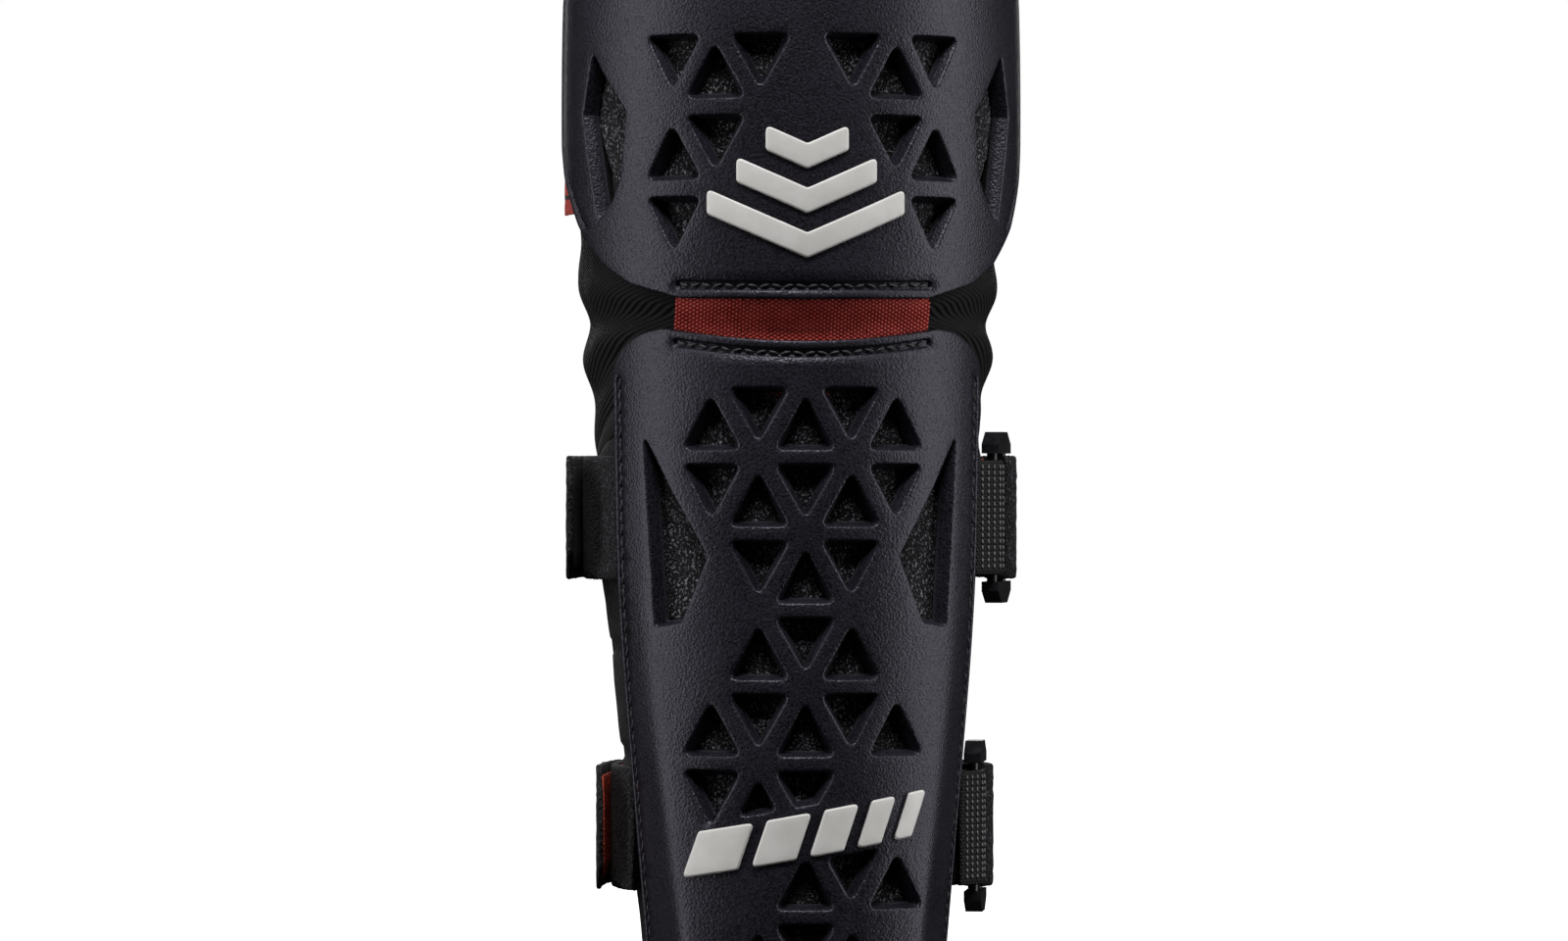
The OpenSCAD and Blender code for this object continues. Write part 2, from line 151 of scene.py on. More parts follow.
class Shader:
    """A node material whose pattern runs in the object's own space, or in UVs measured in metres."""

    def __init__(self, name, colour, roughness=0.6, uv=False, **sockets):
        self.mat = bpy.data.materials.new(name)
        self.mat.use_nodes = True
        self.tree = self.mat.node_tree
        self.bsdf = self.tree.nodes["Principled BSDF"]
        self.bsdf.inputs["Base Color"].default_value = (*colour, 1)
        self.bsdf.inputs["Roughness"].default_value = roughness
        for key, value in sockets.items():
            self.bsdf.inputs[key.replace("_", " ")].default_value = value
        coords = self.node("ShaderNodeTexCoord")
        self.place = coords.outputs["UV" if uv else "Object"]
        self.height = None

    def node(self, kind, **settings):
        made = self.tree.nodes.new(kind)
        for key, value in settings.items():
            if key in made.inputs:
                made.inputs[key].default_value = value
            else:
                setattr(made, key, value)
        return made

    def link(self, source, target):
        self.tree.links.new(source, target)

    def math(self, operation, a, b=0.5):
        made = self.node("ShaderNodeMath", operation=operation)
        for socket, value in zip(made.inputs, (a, b)):
            if isinstance(value, (int, float)):
                socket.default_value = value
            else:
                self.link(value, socket)
        return made.outputs[0]

    def noise(self, size_mm, detail=2.0, stretch=(1, 1, 1)):
        """Noise whose blotches are about size_mm across."""
        made = self.node("ShaderNodeTexNoise", Scale=1.0, Detail=detail)
        self.link(self.scaled(size_mm, stretch), made.inputs["Vector"])
        return made.outputs["Fac"]

    def cells(self, size_mm, stretch=(1, 1, 1)):
        made = self.node("ShaderNodeTexVoronoi", feature="F1", Scale=1.0)
        self.link(self.scaled(size_mm, stretch), made.inputs["Vector"])
        return made.outputs["Distance"]

    def scaled(self, size_mm, stretch=(1, 1, 1)):
        made = self.node("ShaderNodeMapping")
        for i in range(3):
            made.inputs["Scale"].default_value[i] = stretch[i] / (size_mm * MM)
        self.link(self.place, made.inputs["Vector"])
        return made.outputs["Vector"]

    def axis(self, index):
        made = self.node("ShaderNodeSeparateXYZ")
        self.link(self.place, made.inputs[0])
        return made.outputs[index]

    def wave(self, index, pitch_mm, shift=None):
        """A smooth wave from 0 to 1 along one axis, pitch_mm from crest to crest."""
        turns = self.math("MULTIPLY", self.axis(index), 2 * math.pi / (pitch_mm * MM))
        if shift is not None:
            turns = self.math("ADD", turns, shift)
        return self.math("MULTIPLY_ADD", self.math("SINE", turns), 0.5)

    def ramp(self, source, stops):
        made = self.node("ShaderNodeValToRGB")
        ramp = made.color_ramp
        while len(ramp.elements) < len(stops):
            ramp.elements.new(0.5)
        for element, (place, colour) in zip(ramp.elements, stops):
            element.position = place
            element.color = (*colour, 1)
        self.link(source, made.inputs[0])
        return made.outputs[0]

    def mask(self, source, low, high, top=1.0):
        """Black up to low, then rising to a grey of that top at high."""
        return self.ramp(source, [(low, (0, 0, 0)), (high, (top, top, top))])

    def mix(self, factor, a, b):
        made = self.node("ShaderNodeMix", data_type="RGBA")
        self.link(factor, made.inputs["Factor"])
        for name, value in (("A", a), ("B", b)):
            socket = [s for s in made.inputs if s.name == name and s.type == "RGBA"][0]
            if isinstance(value, tuple):
                socket.default_value = (*value, 1)
            else:
                self.link(value, socket)
        return [s for s in made.outputs if s.type == "RGBA"][0]

    def colour(self, source):
        self.link(source, self.bsdf.inputs["Base Color"])

    def rough(self, source, low, high):
        made = self.node("ShaderNodeMapRange")
        made.inputs["To Min"].default_value = low
        made.inputs["To Max"].default_value = high
        self.link(source, made.inputs["Value"])
        self.link(made.outputs["Result"], self.bsdf.inputs["Roughness"])

    def bump(self, source, depth_mm, strength=1.0):
        """Adds a bump of that depth on top of the earlier ones."""
        made = self.node("ShaderNodeBump", Strength=strength, Distance=depth_mm * MM)
        self.link(source, made.inputs["Height"])
        if self.height is not None:
            self.link(self.height, made.inputs["Normal"])
        self.height = made.outputs["Normal"]
        self.link(self.height, self.bsdf.inputs["Normal"])


def moulded_plastic():
    """Charcoal nylon with a pebbled grain, and a painted highlight that makes it a little paler along its
    sharp edges.
    """
    shine = {"Specular_IOR_Level": 0.45, "Specular_Tint": (0.88, 0.84, 1.0, 1)}
    s = Shader("moulded_plastic", (0.008, 0.0076, 0.010), 0.38, **shine)
    cloud = s.noise(26, 3)
    fine = s.noise(0.75, 1)
    tone = s.math("ADD", s.math("MULTIPLY", fine, 0.85), s.math("MULTIPLY", cloud, 0.2))
    body = s.ramp(tone, [(0.36, (0.002, 0.0019, 0.003)), (0.66, (0.021, 0.0195, 0.028))])
    # sharp convex edges, where pointiness is high, are painted paler: a painted highlight along the rims and
    # vent edges
    edge = s.node("ShaderNodeNewGeometry").outputs["Pointiness"]
    wear_and_edge_highlight = s.mask(edge, 0.53, 0.60)
    s.colour(s.mix(wear_and_edge_highlight, body, (0.085, 0.080, 0.098)))
    s.rough(cloud, 0.36, 0.46)
    s.bump(s.cells(0.85), 0.13, 0.9)
    s.bump(fine, 0.14, 0.9)
    return s.mat


def badge_plastic():
    """Off-white soft rubber badge, faintly mottled."""
    s = Shader("badge_plastic", (0.82, 0.80, 0.77), 0.42)
    cloud = s.noise(9, 3)
    s.colour(s.ramp(cloud, [(0.3, (0.76, 0.74, 0.71)), (0.7, (0.86, 0.845, 0.82))]))
    s.bump(s.noise(0.9, 2), 0.03, 0.4)
    return s.mat


def satin_plastic():
    """Black acetal of the strap loops."""
    s = Shader("satin_plastic", (0.010, 0.010, 0.012), 0.30)
    wear = s.noise(3.5, 4)
    s.colour(s.ramp(wear, [(0.4, (0.008, 0.008, 0.010)), (0.75, (0.020, 0.020, 0.023))]))
    s.rough(wear, 0.24, 0.40)
    s.bump(s.noise(0.7, 2), 0.03, 0.4)
    return s.mat


def loop_pile(name, colour=(0.005, 0.005, 0.006), fleck=(0.11, 0.11, 0.13), spread=0.53):
    """Brushed loop fabric: curly black fibres with pale glints."""
    s = Shader(name, colour, 0.75, Sheen_Weight=0.04, Specular_IOR_Level=0.2)
    curl = s.noise(0.75, 2, (1, 1, 0.8))
    glint = s.noise(2.5, 2)
    spots = s.math("MULTIPLY", s.mask(curl, spread, spread + 0.14), glint)
    s.colour(s.mix(spots, colour, fleck))
    s.bump(s.cells(0.9), 0.5, 0.7)
    s.bump(curl, 0.5, 0.8)
    return s.mat


def melange_knit():
    """Charcoal jersey with pale threads in a fine knit."""
    s = Shader("melange_knit", (0.008, 0.008, 0.010), 0.8, Sheen_Weight=0.05, Specular_IOR_Level=0.2)
    fleck = s.noise(0.8, 3, (1, 1, 0.45))
    cloud = s.noise(14, 3)
    base = s.ramp(cloud, [(0.3, (0.005, 0.005, 0.006)), (0.75, (0.012, 0.012, 0.014))])
    spots = s.mask(fleck, 0.60, 0.74, 0.75)
    s.colour(s.mix(spots, base, (0.085, 0.085, 0.095)))
    s.bump(s.cells(1.1, (1, 1, 0.6)), 0.25, 0.6)
    s.bump(s.noise(6, 2), 0.5, 0.35)
    return s.mat


def ribbed_knit():
    """Stretch ribbing in UVs: level ribs, each made of fine stitches."""
    soft = {"Sheen_Weight": 0.04, "Specular_IOR_Level": 0.2}
    s = Shader("ribbed_knit", (0.007, 0.007, 0.008), 0.75, uv=True, **soft)
    ribs = s.wave(1, 1.7)
    fleck = s.noise(0.7, 3)
    # the troughs between the ribs are painted darker than their crests: painted shade
    base = s.ramp(ribs, [(0.0, (0.002, 0.002, 0.0025)), (0.7, (0.011, 0.011, 0.0125))])
    spots = s.mask(fleck, 0.62, 0.78, 0.6)
    s.colour(s.mix(spots, base, (0.10, 0.10, 0.11)))
    s.bump(ribs, 0.55, 0.9)
    s.bump(fleck, 0.2, 0.6)
    return s.mat


def woven(name, dark, mid, light, across=2.2, along=1.25):
    """Webbing in UVs: offset rows of small oval picks, with their pitch across and along the strap."""
    s = Shader(name, mid, 0.6, uv=True, Specular_IOR_Level=0.25)
    column = s.math("FLOOR", s.math("DIVIDE", s.axis(0), across / 2 * MM))
    odd = s.math("MULTIPLY", s.math("MODULO", column, 2), math.pi)
    picks = s.wave(1, along, odd)
    threads = s.math("ABSOLUTE", s.math("SINE", s.math("MULTIPLY", s.axis(0), 2 * math.pi / (across * MM))))
    weave = s.math("MULTIPLY", picks, s.math("POWER", threads, 0.6))
    wear_and_edge_highlight = s.math("MULTIPLY_ADD", s.noise(7, 3), 0.4)
    tone = s.math("ADD", s.math("MULTIPLY", weave, 0.8), s.math("SUBTRACT", wear_and_edge_highlight, 0.6))
    # the gaps between the picks are painted dark and their crests pale: painted shade and painted highlight,
    # with a random wear tone added
    s.colour(s.ramp(tone, [(0.02, dark), (0.42, mid), (0.95, light)]))
    s.bump(weave, 0.35, 0.9)
    return s.mat


def edge_tape():
    """Folded binding tape with a fine cross rib."""
    s = Shader("edge_tape", (0.008, 0.008, 0.009), 0.7, uv=True, Sheen_Weight=0.04, Specular_IOR_Level=0.25)
    ribs = s.wave(0, 1.3)
    # the troughs between the cross ribs are painted darker than their crests: painted shade
    s.colour(s.ramp(ribs, [(0.1, (0.004, 0.004, 0.0045)), (0.9, (0.014, 0.014, 0.016))]))
    s.bump(ribs, 0.25, 0.8)
    s.bump(s.noise(0.6, 2), 0.1, 0.5)
    return s.mat


def stitch_thread(name, colour):
    """Twisted polyester thread."""
    s = Shader(name, colour, 0.5)
    twist = s.noise(0.35, 2)
    shade = tuple(c * 0.45 for c in colour)
    s.colour(s.ramp(twist, [(0.3, shade), (0.7, colour)]))
    s.bump(twist, 0.1, 0.8)
    return s.mat


def label_weave():
    """Small woven tag: two red blocks with a dark gap between them."""
    s = Shader("label_weave", (0.5, 0.06, 0.04), 0.7)
    from_middle = s.math("ABSOLUTE", s.math("SUBTRACT", s.axis(2), tag_z * MM))
    blocks = s.math("GREATER_THAN", from_middle, 0.7 * MM)
    weave = s.noise(0.6, 3, (1, 1, 0.3))
    red = s.ramp(weave, [(0.3, (0.30, 0.025, 0.02)), (0.7, (0.62, 0.075, 0.05))])
    s.colour(s.mix(blocks, (0.02, 0.008, 0.008), red))
    s.bump(weave, 0.2, 0.8)
    return s.mat


MATERIALS = {
    "shell": moulded_plastic(),
    "badge": badge_plastic(),
    "loop": satin_plastic(),
    "pile": loop_pile("loop_pile"),
    "pad": loop_pile("pad_loop", (0.004, 0.004, 0.005), (0.40, 0.40, 0.46), 0.54),
    "hook": loop_pile("hook_field", (0.006, 0.006, 0.007), (0.06, 0.06, 0.066)),
    "knit": melange_knit(),
    "rib": ribbed_knit(),
    # the red webbing's colours are made brighter to make up for the shade under the cup's overhang: painted
    # light
    "red": woven("red_webbing", (0.08, 0.003, 0.003), (0.72, 0.040, 0.032), (1.0, 0.26, 0.20)),
    "tab": woven("tab_webbing", (0.002, 0.002, 0.0025), (0.007, 0.007, 0.008), (0.022, 0.022, 0.025)),
    "lining": woven("red_lining", (0.50, 0.05, 0.03), (0.85, 0.10, 0.05), (0.95, 0.20, 0.12), 1.6, 0.9),
    "tape": edge_tape(),
    "thread": stitch_thread("black_thread", (0.035, 0.035, 0.040)),
    "pale_thread": stitch_thread("pale_thread", (0.20, 0.195, 0.20)),
    "label": label_weave(),
}


# ---- mesh helpers ----


def mesh_object(name, points, faces, uvs=None):
    """A smooth closed object from points in millimetres, with one UV pair per point if uvs is given."""
    mesh = bpy.data.meshes.new(name)
    mesh.from_pydata([Vector(p) * MM for p in points], [], faces)
    mesh.validate()
    mesh.shade_smooth()
    if uvs is not None:
        layer = mesh.uv_layers.new(name="UVMap")
        for corner in mesh.loops:
            layer.data[corner.index].uv = [c * MM for c in uvs[corner.vertex_index]]
    turned = bmesh.new()
    turned.from_mesh(mesh)
    bmesh.ops.recalc_face_normals(turned, faces=turned.faces)
    turned.to_mesh(mesh)
    turned.free()
    obj = bpy.data.objects.new(name, mesh)
    bpy.context.collection.objects.link(obj)
    return obj


def ring_faces(start, rings, size):
    """Faces between rings of size points each, with a cap on each end."""
    last = start + (rings - 1) * size
    faces = []
    for first in range(start, last, size):
        for k in range(size):
            a, b = first + k, first + (k + 1) % size
            faces.append((a, b, b + size, a + size))
    faces.append(tuple(start + k for k in reversed(range(size))))
    faces.append(tuple(last + k for k in range(size)))
    return faces


def layer_faces(across, up, turned=False):
    """Faces of two grids of points, one behind the other, joined round their border."""
    faces = []
    count = across * up
    for first in (0, count):
        for j in range(up - 1):
            for i in range(across - 1):
                a = first + j * across + i
                quad = (a, a + 1, a + 1 + across, a + across)
                faces.append(tuple(reversed(quad)) if turned and first else quad)
    border = list(range(across)) + [j * across + across - 1 for j in range(1, up)]
    border += [(up - 1) * across + i for i in reversed(range(across - 1))]
    border += [j * across for j in reversed(range(1, up - 1))]
    for a, b in zip(border, border[1:] + border[:1]):
        faces.append((b, a, a + count, b + count))
    return faces


def dress(obj, material, body=None, nodes=()):
    """Gives a piece its material, hides the CAD nodes that it stands for, and hangs it on the body it rides
    on.
    """
    obj.data.materials.clear()
    obj.data.materials.append(MATERIALS[material])
    if nodes:
        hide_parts(*nodes)
    if body is not None:
        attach(obj, body)
    return obj


def rounded(corners, radius, steps=5):
    """A closed outline with each corner turned into an arc of about that radius."""
    out = []
    count = len(corners)
    for i in range(count):
        here = Vector(corners[i])
        back = Vector(corners[i - 1]) - here
        ahead = Vector(corners[(i + 1) % count]) - here
        angle = back.angle(ahead)
        if angle > 3.0:
            out.append(tuple(here))
            continue
        cut = min(radius / math.tan(angle / 2), back.length * 0.45, ahead.length * 0.45)
        a = here + back.normalized() * cut
        b = here + ahead.normalized() * cut
        for k in range(steps + 1):
            t = k / steps
            point = a * (1 - t) ** 2 + here * (2 * t * (1 - t)) + b * t * t
            out.append(tuple(point))
    return out


def dense(outline, step):
    """The closed outline with points added so that no side is longer than step."""
    out = []
    for i, p in enumerate(outline):
        a, b = Vector(p), Vector(outline[(i + 1) % len(outline)])
        count = max(1, math.ceil((b - a).length / step))
        out += [tuple(a.lerp(b, k / count)) for k in range(count)]
    return out


def signed_area(outline):
    return sum(a[0] * b[1] - b[0] * a[1] for a, b in zip(outline, outline[1:] + outline[:1])) / 2


def grown(outline, distance):
    """The closed outline moved outward by distance, or inward if it is below 0."""
    turn = 1 if signed_area(outline) > 0 else -1
    out = []
    count = len(outline)
    for i, p in enumerate(outline):
        a = (Vector(p) - Vector(outline[i - 1])).normalized()
        b = (Vector(outline[(i + 1) % count]) - Vector(p)).normalized()
        side = Vector((a.y + b.y, -a.x - b.x))
        if side.length < 1e-6:
            out.append(p)
            continue
        side.normalize()
        stretch = 1 / max(0.5, side.dot(Vector((a.y, -a.x))))
        out.append(tuple(Vector(p) + side * (distance * turn * stretch)))
    return out


def inside(point, outline):
    """True if the point is inside the closed outline."""
    x, y = point
    hit = False
    for (x0, y0), (x1, y1) in zip(outline, outline[1:] + outline[:1]):
        if (y0 > y) != (y1 > y) and x < x0 + (y - y0) * (x1 - x0) / (y1 - y0):
            hit = not hit
    return hit


def capsule_outline(path, half):
    """Closed outline at that distance round an open path, with round ends."""
    points = [Vector(p) for p in path]
    left, right = [], []
    for i, p in enumerate(points):
        ahead = (points[min(i + 1, len(points) - 1)] - points[max(i - 1, 0)]).normalized()
        side = Vector((-ahead.y, ahead.x))
        left.append(p + side * half)
        right.append(p - side * half)
    out = [tuple(p) for p in left]
    for end, start in ((points[-1], left[-1]), (points[0], right[0])):
        arm = start - end
        for k in range(1, 6):
            turn = -math.pi * k / 6
            c, s = math.cos(turn), math.sin(turn)
            out.append(tuple(end + Vector((arm.x * c - arm.y * s, arm.x * s + arm.y * c))))
        if end is points[-1]:
            out += [tuple(p) for p in reversed(right)]
    return out


# ---- the two curved shells ----


def knee_radius(z):
    return knee_r - knee_bulge * ((z - knee_mid) / knee_half) ** 2


def knee_point(u, z, depth):
    """Point of the knee cup at arc length u from the middle, height z, that deep under its surface."""
    a = u / knee_r
    r = knee_radius(z) - depth
    return (r * math.sin(a), -r * math.cos(a), z)


def knee_u(x, z):
    """Arc length of the cup's point that stands x to the right as seen from in front."""
    return knee_r * min(knee_wrap, math.asin(clamp(x / knee_radius(z), -1, 1)))


def shin_radius(a, z):
    """Radius of the shin plate: a round front that runs softly into two flat faces on each side."""
    a = abs(a)
    soft = 1.6
    out = shin_r
    upper = 60 + z * 2 / 90
    lower = 43 + (z - shin_bottom) * 15 / 177
    for half, lean in ((upper, math.radians(30)), (lower, math.radians(25))):
        distance = half * math.cos(lean) - shin_rim_y * math.sin(lean)
        flat = distance / max(0.3, math.cos(a - math.pi / 2 + lean))
        near = max(soft - abs(out - flat), 0) / soft
        out = min(out, flat) - near * near * soft / 4
    return out


def shin_point(u, z, depth):
    a = u / shin_r
    r = shin_radius(a, z) - depth
    return (r * math.sin(a), -r * math.cos(a), z)


def solve(function, target, low, high):
    """The input between low and high where a rising function reaches target."""
    for _ in range(40):
        middle = (low + high) / 2
        if function(middle) < target:
            low = middle
        else:
            high = middle
    return low


def shin_rim(z):
    """Arc length of the plate's rear rim at height z."""
    rim = solve(lambda a: -shin_radius(a, z) * math.cos(a), shin_rim_y, 0.3, 1.4)
    return rim * shin_r


def shin_u(x, z):
    side = math.copysign(1, x)
    angle = solve(lambda a: shin_radius(a, z) * math.sin(a), abs(x), 0, 1.4)
    return side * min(angle * shin_r, shin_rim(z))


def mirrored(half):
    """A closed outline from its right half, listed from the middle round to the middle."""
    left = [(-u, z) for u, z in reversed(half)]
    if abs(half[-1][0]) < 1e-6:
        left = left[1:]
    if abs(half[0][0]) < 1e-6:
        left = left[:-1]
    return half + left


def plate(
    name, surface, outline, holes, pockets=(), thick=shell_t, deep=flange, taper=1.5, grid=2.8, edge=0.7
):
    """A curved plate with rounded edges, tapered flanges round its holes, and pockets pressed into it.

    outline, holes and pockets are closed outlines in (arc length, height). A pocket is (outline, depth).
    """
    loops = [outline, *holes, *[pocket[0] for pocket in pockets]]
    loops = [list(o) if signed_area(o) > 0 else list(reversed(o)) for o in loops]
    outline, holes, presses = loops[0], loops[1 : 1 + len(holes)], loops[1 + len(holes) :]
    points, outer, inner, edges, rims = [], [], [], [], []

    def ring(loop, top, bottom):
        first = len(points)
        points.extend(Vector(p) for p in loop)
        outer.extend([top] * len(loop))
        inner.extend([bottom] * len(loop))
        edges.extend((first + i, first + (i + 1) % len(loop)) for i in range(len(loop)))
        return list(range(first, len(points)))

    curve = [(0, edge), (0.2, 0.45 * edge), (0.5, 0.12 * edge), (0.95, 0)]
    for loop, sign, floor in [(outline, -1, thick)] + [(h, 1, deep) for h in holes]:
        for k, (away, drop) in enumerate(curve):
            made = ring(grown(loop, sign * away * edge / 0.7), drop, floor)
            if k == 0:
                rims.append((made, sign, floor))
    for loop, (_, depth) in zip(presses, pockets):
        for away, share in ((0.3, 0), (0, 0.3), (-0.35, 0.9), (-0.6, 1)):
            ring(grown(loop, away), depth * share, thick)
    tree = kdtree.KDTree(len(points))
    for i, p in enumerate(points):
        tree.insert((p.x, p.y, 0), i)
    tree.balance()
    low = [min(p[i] for p in outline) for i in (0, 1)]
    high = [max(p[i] for p in outline) for i in (0, 1)]
    row = grid * math.sqrt(3) / 2
    for j in range(int((high[1] - low[1]) / row) + 1):
        for i in range(int((high[0] - low[0]) / grid) + 1):
            p = (low[0] + (i + 0.5 * (j % 2)) * grid, low[1] + j * row)
            if tree.find((*p, 0))[2] < grid * 0.62 or not inside(p, outline):
                continue
            if any(inside(p, loop) for loop in holes + presses):
                continue
            points.append(Vector(p))
            outer.append(0)
            inner.append(thick)
    found, _, faces, origin, _, _ = geometry.delaunay_2d_cdt(points, edges, [], 1, 1e-5)
    place = {}
    for new, sources in enumerate(origin):
        for source in sources:
            place[source] = new
    first = [sources[0] if sources else tree.find((*found[i], 0))[1] for i, sources in enumerate(origin)]
    count = len(found)
    made = [surface(p.x, p.y, outer[first[i]]) for i, p in enumerate(found)]
    made += [surface(p.x, p.y, inner[first[i]]) for i, p in enumerate(found)]
    polygons = []
    for face in faces:
        middle = sum((found[i] for i in face), Vector((0, 0))) / len(face)
        if not inside(middle, outline) or any(inside(middle, loop) for loop in holes):
            continue
        polygons.append(tuple(face))
        polygons.append(tuple(count + i for i in reversed(face)))
    for loop, sign, floor in rims:
        flat = [tuple(points[i]) for i in loop]
        walls = [[place[i] for i in loop]]
        stations = [(0.15, floor - 0.8)] if sign < 0 else []
        if sign > 0:
            stations = [(-taper * 0.5, lerp(edge, floor, 0.5))]
            stations += [(-taper, floor - 0.35), (-taper + 0.3, floor)]
        for away, drop in stations:
            start = len(made)
            made += [surface(*p, drop) for p in grown(flat, away if sign > 0 else 0)]
            walls.append(list(range(start, len(made))))
        walls.append([count + place[i] for i in loop])
        for upper, lower in zip(walls, walls[1:]):
            size = len(upper)
            for i in range(size):
                j = (i + 1) % size
                polygons.append((upper[i], lower[i], lower[j], upper[j]))
    return mesh_object(name, made, polygons)


def cut_by(corners, value):
    """The part of a convex outline where value(point) is above 0."""
    out = []
    for a, b in zip(corners, corners[1:] + corners[:1]):
        fa, fb = value(a), value(b)
        if fa > 0:
            out.append(a)
        if (fa > 0) != (fb > 0):
            t = fa / (fa - fb)
            out.append((lerp(a[0], b[0], t), lerp(a[1], b[1], t)))
    return out


def triangle(u, z, up, value=None):
    """Rounded vent outline that points up or down, cut where value(point) falls below 0 if it is given."""
    angles = [math.radians((90 if up > 0 else -90) + 120 * k) for k in range(3)]
    points = [(u + vent_r * math.cos(a), z + vent_r * math.sin(a)) for a in angles]
    if value is not None:
        points = cut_by(points, value)
    return dense(rounded(points, 1.9), 1.6)


def vent_height(top, row, index, up):
    """Height of a vent's centre in that row of the lattice."""
    return top - (index + 1) * row + row * (1 / 3 if up > 0 else 2 / 3)


def knee_vents():
    cells = [(1, 0, -1), (2, 0, 1), (3, 0, -1), (2, 1, -1), (3, 1, 1), (3, 2, -1)]
    return [
        triangle(side * k * vent_pitch / 2, vent_height(knee_vent_top, vent_row, index, up), up)
        for k, index, up in cells
        for side in (-1, 1)
    ]


def shin_vents():
    """Whole vents in mirrored rows, then the ones that the plate's bars cut short."""
    diamond = [[(0, 1), (1, -1), (2, 1)], [(0, -1), (1, 1), (2, -1)], [(0, 1), (1, -1)], [(0, -1), (1, 1)]]
    rows = diamond + [diamond[0], [], [], diamond[3], diamond[2], diamond[3]]
    out = []
    for index, cells in enumerate(rows):
        for k, up in cells:
            z = vent_height(shin_vent_top, shin_vent_row, index, up)
            for side in (-1, 1) if k else (1,):
                out.append(triangle(side * shin_u(k * vent_pitch / 2, z), z, up))

    def above(p):
        return p[1] - bar_base - bar_tall - bar_rise * p[0] - bar_margin

    def below(p):
        return bar_base + bar_rise * p[0] - p[1] - bar_margin

    cut = [(5, -2, -1, above), (5, -1, 1, above), (5, 0, -1, above)]
    cut += [(6, 0, 1, below), (6, 1, -1, below), (6, 2, 1, below)]
    for index, k, up, side_of in cut:
        z = vent_height(shin_vent_top, shin_vent_row, index, up)
        u = shin_u(k * vent_pitch / 2, z) if k else 0
        out.append(triangle(u, z, up, side_of))
    return out


def slot_pair(right):
    """A slot's outline with softened corners, and its mirror image."""
    right = dense(rounded(right, 1.2), 2)
    return [right, [(-u, z) for u, z in right]]


def knee_slots():
    half = [(60, 85.5), (64.5, 66), (58, 32), (52.7, 38), (49.4, 46), (47.6, 66), (57.3, 81)]
    return slot_pair([(math.radians(a) * knee_r, z) for a, z in half])


def shin_slots():
    half = [(50, -37), (46.4, -97.4), (39, -96), (38, -94), (30.7, -75), (42, -54), (45, -47.5)]
    return slot_pair([(shin_u(x, z), z) for x, z in dense(half, 8)])


def knee_outline():
    corners = [(0, 6), (40, 6.6), (55, 11.5), (63, 18), (70, 30), (74, 46)]
    half = [(knee_u(x, z), z) for x, z in corners]
    half += [(knee_r * knee_wrap, 56), (knee_r * knee_wrap, 106)]
    half += [(knee_u(x, z), z) for x, z in [(72, 114), (62, 122), (44, 128), (20, 130), (0, 130)]]
    return dense(rounded(mirrored(half), 14, 6), 2.2)


def shin_top(x):
    """Height of the plate's curved top edge."""
    radius, sag = 237, 6.8
    return radius - sag - math.sqrt(radius * radius - x * x)


def shin_outline():
    half = [(x, shin_top(x)) for x in range(0, 45, 4)]
    corner, middle_x, middle_z = 15, 44.5, -17.8
    for degrees in range(84, 10, -12):
        a = math.radians(degrees)
        half.append((middle_x + corner * math.cos(a), middle_z + corner * math.sin(a)))
    half = [(shin_u(x, z), z) for x, z in half]
    half += [(shin_rim(z), z) for z in range(-20, -240, -4)]
    for degrees in range(0, 91, 9):
        a = math.radians(degrees)
        z = shin_bottom + 24 - 24 * math.sin(a)
        half.append((lerp(shin_rim(z) - 24, shin_rim(z), math.cos(a)), z))
    half.append((0, shin_bottom))
    return dense(mirrored(half), 2.4)


def knee_seams():
    """Paths of the stitch channels in the cup: along the webbing, then down each side."""
    low = [(knee_r * math.radians(a), 10.3 + 0.5 * (a / 32) ** 2) for a in range(-32, 33, 2)]
    edge = grown(knee_outline(), -3.4)
    right = [(u, z) for u, z in edge if 30 < z < 112 and u > 90 - 0.55 * max(0, 46 - z)]
    right.sort(key=lambda p: p[1])
    return low, right, [(-u, z) for u, z in right]


def shin_seams():
    top = [(shin_u(x, -20), shin_top(x) - 3.9) for x in range(-40, 41, 2)]
    right = [(shin_rim(z) - 3.3, z) for z in range(-19, -246, -3)]
    return top, right, [(-u, z) for u, z in right]


def stitches(name, surface, paths, length=3.0, gap=0.9, radius=0.5, slant=0.35, depth=0.55):
    """Rows of short plump stitches lying along paths on a surface."""
    points, faces = [], []
    sides, rings = 6, 5
    for path in paths:
        line = [Vector(p) for p in path]
        run, index, count = 0.0, 0, 0
        while index < len(line) - 1:
            span = (line[index + 1] - line[index]).length
            if run > span:
                run -= span
                index += 1
                continue
            here = line[index].lerp(line[index + 1], run / span)
            ahead = (line[index + 1] - line[index]).normalized()
            side = Vector((-ahead.y, ahead.x))
            tilt = slant * (1 if count % 2 else -1)
            start = len(points)
            for k in range(rings):
                t = k / (rings - 1)
                bulge = math.sin(math.pi * lerp(0.12, 0.88, t))
                centre = here + ahead * (length * t) + side * (tilt * (t - 0.5) * 2)
                for s in range(sides):
                    turn = 2 * math.pi * s / sides
                    p = centre + side * (radius * bulge * math.cos(turn))
                    rise = depth - radius * bulge * (0.5 + math.sin(turn))
                    points.append(surface(p.x, p.y, rise))
            faces += ring_faces(start, rings, sides)
            run += length + gap
            count += 1
    return mesh_object(name, points, faces)


